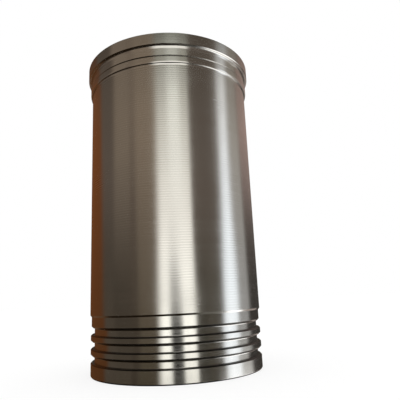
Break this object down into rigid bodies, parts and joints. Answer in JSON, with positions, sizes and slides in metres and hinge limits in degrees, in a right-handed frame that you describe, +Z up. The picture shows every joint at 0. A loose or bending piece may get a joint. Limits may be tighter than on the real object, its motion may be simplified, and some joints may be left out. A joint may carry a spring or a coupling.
{
  "type": "cylinder liner",
  "caption": "Wet cylinder liner for a diesel engine: a turned iron tube with a top flange, an upper register and square seal grooves round its lower end.",
  "frame": {"origin": "on the bore's axis, at the lower end face that the liner stands on", "axes": "+Z up along the bore's axis, from the seal grooves to the flange; the part is round, so X and Y are free"},
  "size_m": [0.1644, 0.1644, 0.292],
  "materials": {
    "turned_iron": "bright fine-turned outside, ground ends, honed bore"
  },
  "bodies": {
    "root": {"cylinder_liner": "turned_iron"}
  },
  "joints": []
}
